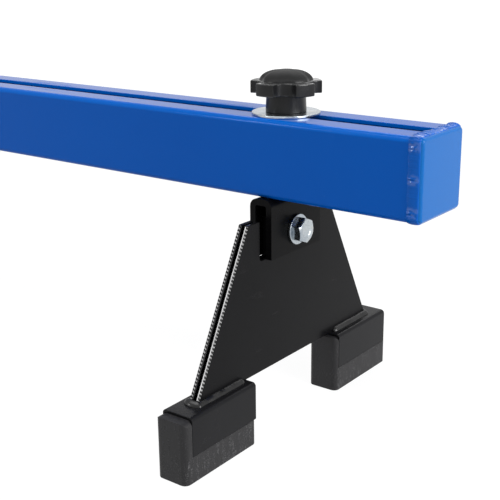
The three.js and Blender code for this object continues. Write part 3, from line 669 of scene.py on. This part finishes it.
def star_outline(inset):
    """Each lobe is an arc about the axis and each hollow an arc about a point outside it. A short
    curve, pulled towards the corner where the arcs meet, joins them."""
    outer = lobe_radius - inset
    hollow = scoop_radius + inset
    pitch = 2 * math.pi / lobe_count
    hollow_half = corner_angle(scoop_place, outer, hollow)
    sweep = corner_angle(scoop_place, hollow, outer)
    lobe_half = pitch / 2 - hollow_half
    lobe_run = np.linspace(-1, 1, 11) * (lobe_half - corner_length / outer)
    hollow_run = np.linspace(-1, 1, 25) * (sweep - corner_length / hollow)
    t = np.linspace(0, 1, 7)[1:-1, None]
    points = []
    for lobe in range(lobe_count):
        middle = pitch * lobe
        aim = middle + pitch / 2
        crest = np.stack([np.cos(middle + lobe_run), np.sin(middle + lobe_run)], -1) * outer
        place = np.array([math.cos(aim), math.sin(aim)]) * scoop_place
        around = aim + math.pi - hollow_run
        valley = place + np.stack([np.cos(around), np.sin(around)], -1) * hollow
        first = np.array([math.cos(aim - hollow_half), math.sin(aim - hollow_half)]) * outer
        last = np.array([math.cos(aim + hollow_half), math.sin(aim + hollow_half)]) * outer
        following_angle = middle + pitch + lobe_run[0]
        following = np.array([math.cos(following_angle), math.sin(following_angle)]) * outer
        down = crest[-1] * (1 - t) ** 2 + first * 2 * t * (1 - t) + valley[0] * t ** 2
        up = valley[-1] * (1 - t) ** 2 + last * 2 * t * (1 - t) + following * t ** 2
        points += [crest, down, valley, up]
    return np.concatenate(points)


def dome(share):
    """Height of the domed middle at a share of its rim's radius: one less the share to the power 3.2,
    all to the power 0.6, which is flatter on top and steeper at the rim than a ball."""
    return dome_height * np.clip(1 - share ** 3.2, 0, None) ** 0.6


def star_knob(side_name, sign):
    """Rings of the star's outline, stacked upwards: the hub, the rounded lower edges, the upright
    walls, the rounded upper edges, and rings that shrink to the top of the dome, whose rim keeps
    inside the hollows."""
    whole = star_outline(0)
    size = np.hypot(*whole.T)
    unit = whole / size[:, None]

    def level(flat, height):
        """Lifts a ring of (x, y) points to a height."""
        return np.concatenate([flat, np.broadcast_to(height, size.shape)[:, None]], -1)

    rows = [level(unit * (knob_hub - hub_edge), knob_bottom)]
    rows.append(level(unit * knob_hub, knob_bottom + hub_edge))
    rows.append(level(unit * (knob_hub - knob_hub_draft), lobe_bottom - hub_fillet))
    rows.append(level(unit * (knob_hub - knob_hub_draft + hub_fillet), lobe_bottom))
    for t in np.linspace(0, math.pi / 2, 5):
        inset = edge_round * (1 - math.sin(t))
        rows.append(level(star_outline(inset), lobe_bottom + edge_round * (1 - math.cos(t))))
    crown = star_outline(edge_round)
    radius = np.hypot(*crown.T)
    for t in np.linspace(0, math.pi / 2, 5):
        inset = edge_round * (1 - math.cos(t))
        rows.append(level(star_outline(inset), lobe_top + edge_round * (math.sin(t) - 1)))
    lobe = 2 * math.pi / lobe_count
    off = abs((np.arctan2(crown[:, 1], crown[:, 0]) % lobe) - lobe / 2)
    give = np.cos(np.clip(off / hollow_reach, 0, 1) * math.pi / 2) ** 2
    rim = dome_rim - give * (dome_rim - radius.min() + 0.0001)
    for share in np.cos(np.linspace(0, math.pi / 2, 26)):
        rows.append(level(crown / radius[:, None] * (rim * share)[:, None], lobe_top + dome(share)))
    grid = np.stack(rows)
    x, y = grid[:, :, 0].copy(), grid[:, :, 1].copy()
    grid[:, :, 0] = sign * (leg_station + x * math.cos(knob_turn) - y * math.sin(knob_turn))
    grid[:, :, 1] = sign * (x * math.sin(knob_turn) + y * math.cos(knob_turn))
    node = side_name + "_star_knob"
    piece = linked(node + "_moulding", skin(node, grid), plastic, body_of[node])
    flattened(piece)
    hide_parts(node)


plastic = knob_plastic()
for side_name, sign in sides:
    star_knob(side_name, sign)


# Zinc-plated steel fasteners of the leg: washers, the pivot bolt and nut, the clamp bolt, the
# spacer and the knob's insert. The bright plate is faintly blue, with cloudy patches and fine
# marks from the barrel in which small parts are plated.
def zinc_plate():
    """Bluish metal between two greys, with warm patches, and dark marks where a fine noise is high."""
    finish = Finish("zinc_plate", Metallic=1.0)
    cloud = finish.noise(70.0, 4.0, 0.6)
    marks = finish.noise(700.0, 4.0, 0.7)
    tint = finish.noise(160.0, 2.0)
    colour = finish.mix(cloud.ramp(0.3, 0.7), (0.30, 0.345, 0.40, 1), (0.49, 0.53, 0.555, 1))
    colour = finish.mix(tint.ramp(0.55, 0.7) * 0.3, colour, (0.66, 0.60, 0.50, 1))
    colour = finish.mix(marks.ramp(0.52, 0.68) * 0.5, colour, (0.16, 0.19, 0.23, 1))
    finish.bump(marks + cloud * 0.4, 0.00004, 0.4)
    return finish.done(Base_Color=colour, Roughness=cloud * 0.12 + marks * 0.14 + 0.10)


def rounded(section, radius):
    """A closed polygon whose corners are replaced by short quadratic curves, each from one side to the
    next and pulled towards the corner."""
    section = np.array(section, float)
    count = len(section)
    points = []
    for k, corner in enumerate(section):
        before = section[k - 1] - corner
        after = section[(k + 1) % count] - corner
        start = corner + before * min(radius / np.hypot(*before), 0.45)
        end = corner + after * min(radius / np.hypot(*after), 0.45)
        for t in np.linspace(0, 1, 5):
            points.append(start * (1 - t) ** 2 + corner * 2 * t * (1 - t) + end * t ** 2)
    points.append(points[0])
    return np.array(points)


def lathe(section, along, centre, sign, steps=96):
    """Turns a section of (radius, distance) about a line through centre, along Z or along X."""
    angle = np.linspace(0, 2 * math.pi, steps, endpoint=False)
    radius, distance = section[:, :1], section[:, 1:]
    first = radius * np.cos(angle)
    second = radius * np.sin(angle)
    far = distance + first * 0
    order = [first, second, far] if along == "Z" else [far, first, second]
    grid = np.stack(order, -1) + np.array(centre)
    grid[:, :, :2] *= sign
    return grid


def ring_section(outer, bore, low, high, edge):
    """The section of a flat ring with rounded edges."""
    return rounded([(bore / 2, low), (outer / 2, low), (outer / 2, high), (bore / 2, high)], edge)


def finished(node, grids, material, flat=True):
    """Stands for a CAD node with finer surfaces."""
    piece = linked(node + "_finished", skin(node, *grids), material, body_of[node])
    if flat:
        flattened(piece)
    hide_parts(node)


knob_washer_across = 0.052
knob_insert_across = 0.018
knob_insert_length = 0.0166
pivot_washer_across = 0.024
ring_edge = 0.0005
pivot_height = 0.1585
pivot_wall = 0.010
pivot_seat = 0.0125
plate_gap_half = 0.0015
bolt_end = -0.0255
head_height = 0.0075
nut_height = 0.0105
hex_flats = 0.018
hex_turn = math.radians(37)
bolt_radius = 0.006
bolt_hole = 0.0128
bolt_pitch = 0.00175
thread_depth = 0.61
cone_rim = 0.94
hex_edge = 0.0002
dish_depth = 0.0008


def hexagon(start, end, centre, sign, bore, dish):
    """A hexagon along X. A cone of 30 degrees trims its corners at the end face, and at the start too
    where there is a bore. The end face of a bolt's head is sunk inside a raised ring."""
    step = 1 if end > start else -1
    tall = abs(end - start)
    angle = np.linspace(0, 2 * math.pi, 180, endpoint=False)
    sector = (angle - hex_turn) % (math.pi / 3) - math.pi / 6
    wall = hex_flats / 2 / np.cos(sector)
    flat = hex_flats / 2 * cone_rim
    trim = np.clip(wall - flat, 0, None) * math.tan(math.radians(30))
    inner = bore / 2
    low_trim = trim if bore else trim * 0
    levels = [(inner, 0), (flat, 0), (wall * 0.995, low_trim * 0.9), (wall, low_trim + hex_edge)]
    levels += [(wall, tall - trim - hex_edge), (wall * 0.995, tall - trim * 0.9), (flat, tall)]
    if dish:
        levels += [(flat * 0.70, tall), (flat * 0.62, tall - 0.75 * dish_depth)]
        levels += [(flat * 0.55, tall - dish_depth), (inner, tall - dish_depth)]
    else:
        levels.append((inner, tall))
    if bore:
        levels.append(levels[0])
    rows = []
    for radius, height in levels:
        radius = radius + angle * 0
        x = start + step * (height + angle * 0)
        rows.append(np.stack([x, radius * np.cos(angle), radius * np.sin(angle)], -1))
    grid = np.stack(rows) + np.array(centre)
    grid[:, :, :2] *= sign
    return grid


def threaded(top, bottom, radius, pitch, along, centre, sign, columns=32, per_turn=12):
    """A rod with a screw thread. Its radius falls from crest to root as a triangle wave of the height
    in pitches less the share of a turn. The thread fades out at both ends, and the top one is
    chamfered by a millimetre."""
    rows = int(round(abs(top - bottom) / pitch * per_turn)) + 1
    height = np.linspace(top, bottom, rows)[:, None]
    angle = np.linspace(0, 2 * math.pi, columns, endpoint=False)[None, :]
    phase = (height / pitch - angle / (2 * math.pi)) % 1
    groove = np.clip(1 - abs(2 * phase - 1) * 1.25, 0, 1)
    fade = np.clip(abs(height - bottom) / (2 * pitch), 0, 1) * np.clip(abs(top - height) / pitch, 0.5, 1)
    size = radius - thread_depth * pitch * groove * fade
    size = size - np.clip(1 - abs(top - height) / 0.001, 0, 1) * 0.001
    first, second, far = size * np.cos(angle), size * np.sin(angle), height + angle * 0
    order = [first, second, far] if along == "Z" else [far, first, second]
    grid = np.stack(order, -1) + np.array(centre)
    grid[:, :, :2] *= sign
    return grid


zinc = zinc_plate()
for side_name, sign in sides:
    column = (leg_station, 0, 0)
    pivot = (leg_station, 0, pivot_height)
    washer = ring_section(knob_washer_across, bolt_hole, beam_top, washer_top, ring_edge)
    finished(side_name + "_knob_washer", [lathe(washer, "Z", column, sign)], zinc)
    insert_top = knob_bottom + knob_insert_length
    insert = ring_section(knob_insert_across, bolt_hole, knob_bottom, insert_top, 0.0004)
    finished(side_name + "_knob_insert", [lathe(insert, "Z", column, sign, 48)], zinc)
    for part, low, high in (
            ("pivot_head_washer", pivot_wall, pivot_seat),
            ("pivot_nut_washer", -pivot_seat, -pivot_wall),
            ("pivot_spacer", -plate_gap_half, plate_gap_half)):
        section = ring_section(pivot_washer_across, bolt_hole, low, high, ring_edge)
        finished(f"{side_name}_{part}", [lathe(section, "X", pivot, sign)], zinc)
    head = hexagon(pivot_seat, pivot_seat + head_height, pivot, sign, 0, True)
    shank = threaded(bolt_end, pivot_seat + 0.001, bolt_radius, bolt_pitch, "X", pivot, sign)
    finished(side_name + "_pivot_bolt", [head, shank], zinc)
    nut = hexagon(-pivot_seat, -pivot_seat - nut_height, pivot, sign, bolt_hole, False)
    finished(side_name + "_pivot_nut", [nut], zinc)
    eased(side_name + "_clamp_bolt", zinc, edge=0.0004)


# Screw hooks: a bent saddle on the beam, a thrust washer, a cast wing nut, and a round bar with a
# rolled thread that is bent to a hook below. All are zinc plated.
hook_station = 0.19
saddle_top = 0.2515
hub_bottom = 0.2545
grease_film = 0.00003
thrust_top = hub_bottom - grease_film
hub_top = 0.2765
hub_radius = 0.014
hub_chamfer = (0.003, 0.002)
thrust_washer_across = 0.030
hook_bore = 0.0148
spindle_radius = 0.007
spindle_pitch = 0.002
spindle_top = 0.3365
thread_end = 0.180
hook_bend_height = 0.0895
hook_bend = 0.022
hook_tip = 0.1025
arm_radius = 0.0055
arm_taper = 0.2
ball_radius = 0.0065
arm_start = (0.0135, 0.270)
arm_end = (0.0555, 0.282)


def rod(path, radii, sign):
    """A round bar along a path of (Y, Z) points in the plane of the hook. Each ring stands square to
    the path."""
    path = np.array(path)
    along = np.gradient(path, axis=0)
    along /= np.hypot(*along.T)[:, None]
    angle = np.linspace(0, 2 * math.pi, 40, endpoint=False)[None, :]
    size = np.array(radii)[:, None]
    x = hook_station + size * np.cos(angle)
    out = size * np.sin(angle)
    grid = np.stack([x, path[:, :1] - along[:, 1:] * out, path[:, 1:] + along[:, :1] * out], -1)
    grid[:, :, :2] *= sign
    return grid


def arm(side, sign):
    """A bar that thins a little towards its end and closes in a ball."""
    start = np.array((side * arm_start[0], arm_start[1]))
    end = np.array((side * arm_end[0], arm_end[1]))
    reach = np.hypot(*(end - start))
    shares = np.linspace(0, 1 - ball_radius / reach, 12)
    neck = math.asin(arm_radius * (1 - arm_taper) / ball_radius)
    polar = np.linspace(math.pi - neck, 0.02, 16)
    path = [start + (end - start) * s for s in shares]
    path += [end + (end - start) / reach * ball_radius * math.cos(p) for p in polar]
    radii = [arm_radius * (1 - arm_taper * s) for s in shares]
    radii += [ball_radius * math.sin(p) for p in polar]
    return rod(path, radii, sign)


for side_name, sign in sides:
    column = (hook_station, 0, 0)
    prefix = side_name + "_hook_"
    eased(prefix + "saddle", zinc, edge=0.0008)
    section = ring_section(thrust_washer_across, hook_bore, saddle_top, thrust_top, ring_edge)
    finished(prefix + "thrust_washer", [lathe(section, "Z", column, sign)], zinc)
    hub = rounded([
        (hook_bore / 2, hub_bottom), (hub_radius, hub_bottom), (hub_radius, hub_top - hub_chamfer[1]),
        (hub_radius - hub_chamfer[0], hub_top), (hook_bore / 2, hub_top)], 0.001)
    wings = [arm(side, sign) for side in (-1, 1)]
    finished(prefix + "wing_nut", [lathe(hub, "Z", column, sign)] + wings, zinc, False)
    thread = threaded(spindle_top, thread_end, spindle_radius, spindle_pitch, "Z", column, sign)
    bends = np.linspace(0, math.pi, 40)
    path = [(0, thread_end + 0.0005), (0, thread_end - 0.002), (0, hook_bend_height + 0.002)]
    path += [(hook_bend * (1 - math.cos(b)), hook_bend_height - hook_bend * math.sin(b)) for b in bends]
    path += [(2 * hook_bend, hook_tip - below) for below in (0.003, 0.0012, 0)]
    radii = [spindle_radius] * (len(path) - 2) + [spindle_radius * 0.86, spindle_radius * 0.58]
    finished(prefix + "spindle", [thread, rod(path, radii, sign)], zinc, False)


bpy.context.view_layer.update()
